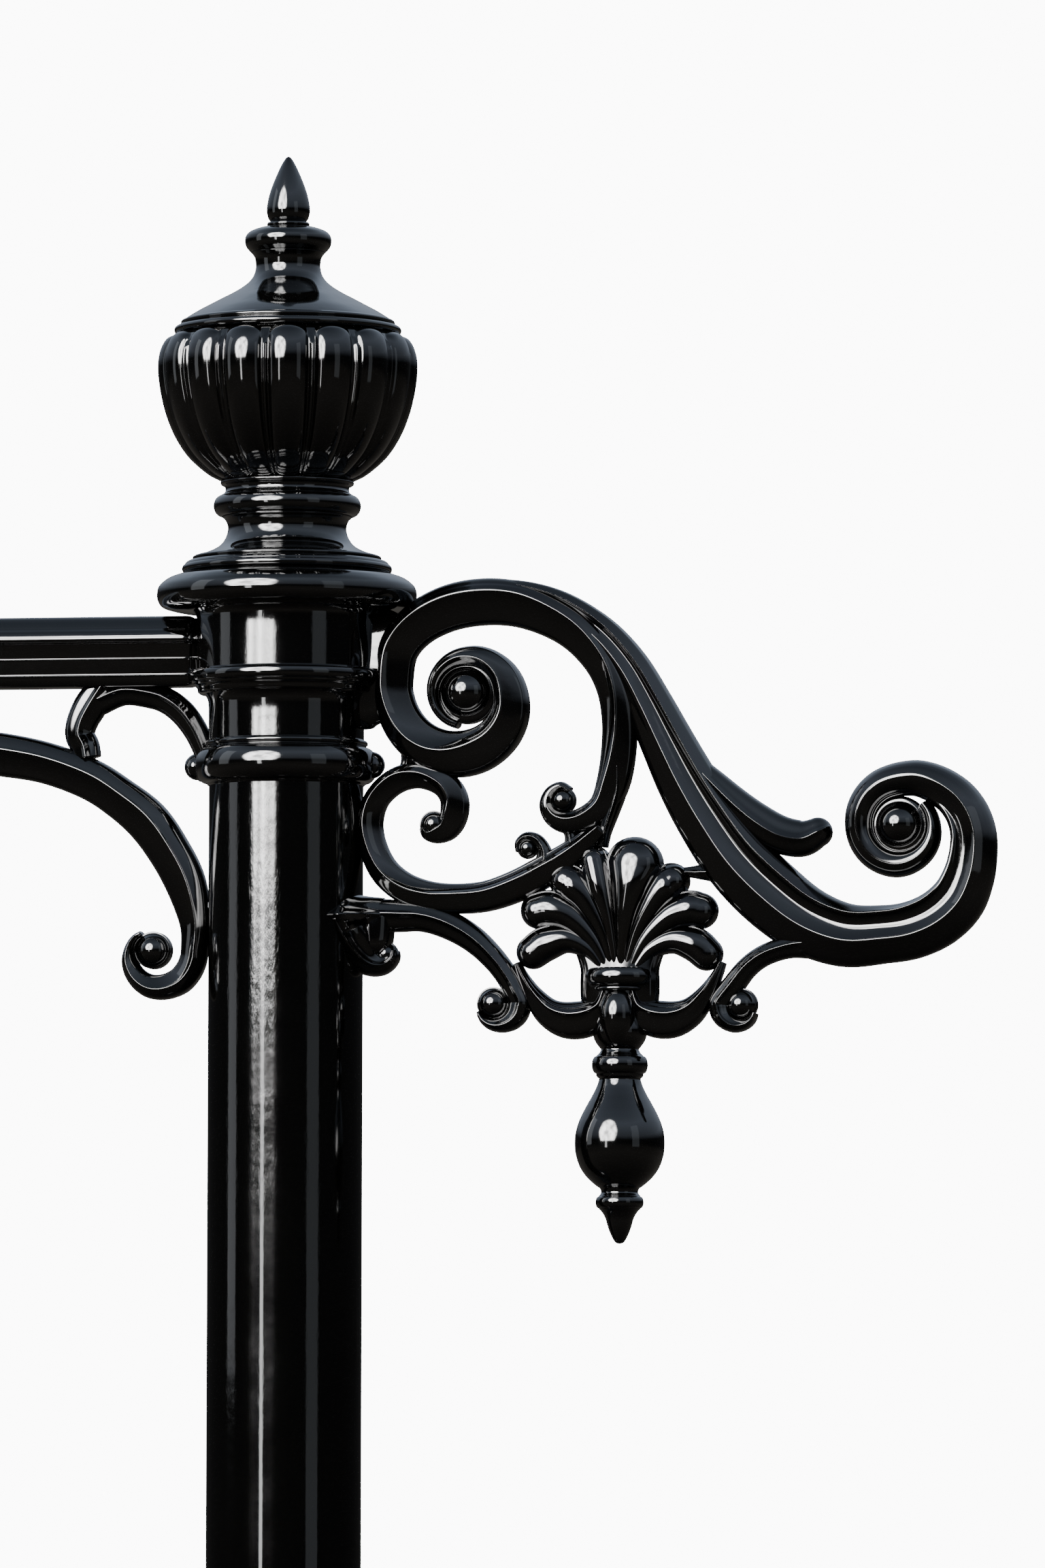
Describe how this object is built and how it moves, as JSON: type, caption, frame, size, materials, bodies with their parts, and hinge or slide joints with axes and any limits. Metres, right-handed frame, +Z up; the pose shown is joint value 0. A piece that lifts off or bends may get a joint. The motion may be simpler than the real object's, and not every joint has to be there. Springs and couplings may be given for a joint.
{
  "type": "ornamental street post",
  "caption": "Cast street post head: round column with turned rings, fluted urn finial, moulded rail on an arched brace, and a scroll bracket with a shell and a turned pendant.",
  "frame": {"origin": "column axis at the underside of the base flange", "axes": "+Z up the column, +X along the scroll bracket, -X along the rail; the bracket and the rail are centred on Y = 0"},
  "size_m": [0.8705, 0.26, 1.1411],
  "materials": {
    "gloss_black_paint": "deep gloss black enamel over cast iron, with slight brush ripple",
    "steel": "plain zinc-plated steel of the hidden fixings"
  },
  "bodies": {
    "root": {"base_flange": "gloss_black_paint", "brace_arch": "gloss_black_paint", "brace_bolt": "steel", "brace_knuckle": "gloss_black_paint", "bracket_bolt_lower": "steel", "bracket_bolt_upper": "steel", "bud": "gloss_black_paint", "cap_plate": "steel", "column_tube": "gloss_black_paint", "cornice": "gloss_black_paint", "cuff_leaf": "gloss_black_paint", "drum": "gloss_black_paint", "finial_base": "gloss_black_paint", "foot_moulding": "gloss_black_paint", "leaf": "gloss_black_paint", "lid_knob": "gloss_black_paint", "lower_arm": "gloss_black_paint", "lower_ring": "gloss_black_paint", "lower_scroll": "gloss_black_paint", "middle_ring": "gloss_black_paint", "neck_ring": "gloss_black_paint", "neck_sleeve": "gloss_black_paint", "pendant": "gloss_black_paint", "pendant_stud": "steel", "post_cuff": "gloss_black_paint", "rail": "gloss_black_paint", "rail_bolt": "steel", "rail_spigot": "steel", "right_scroll": "gloss_black_paint", "s_arm": "gloss_black_paint", "shell": "gloss_black_paint", "shell_band": "gloss_black_paint", "side_arm_left": "gloss_black_paint", "side_arm_right": "gloss_black_paint", "small_arch": "gloss_black_paint", "spigot_tube": "steel", "spire": "gloss_black_paint", "tendril": "gloss_black_paint", "tie_rod": "steel", "tie_rod_nut": "steel", "tie_rod_washer": "steel", "urn_bowl": "gloss_black_paint", "urn_lid": "gloss_black_paint", "volute_scroll": "gloss_black_paint"}
  },
  "joints": []
}
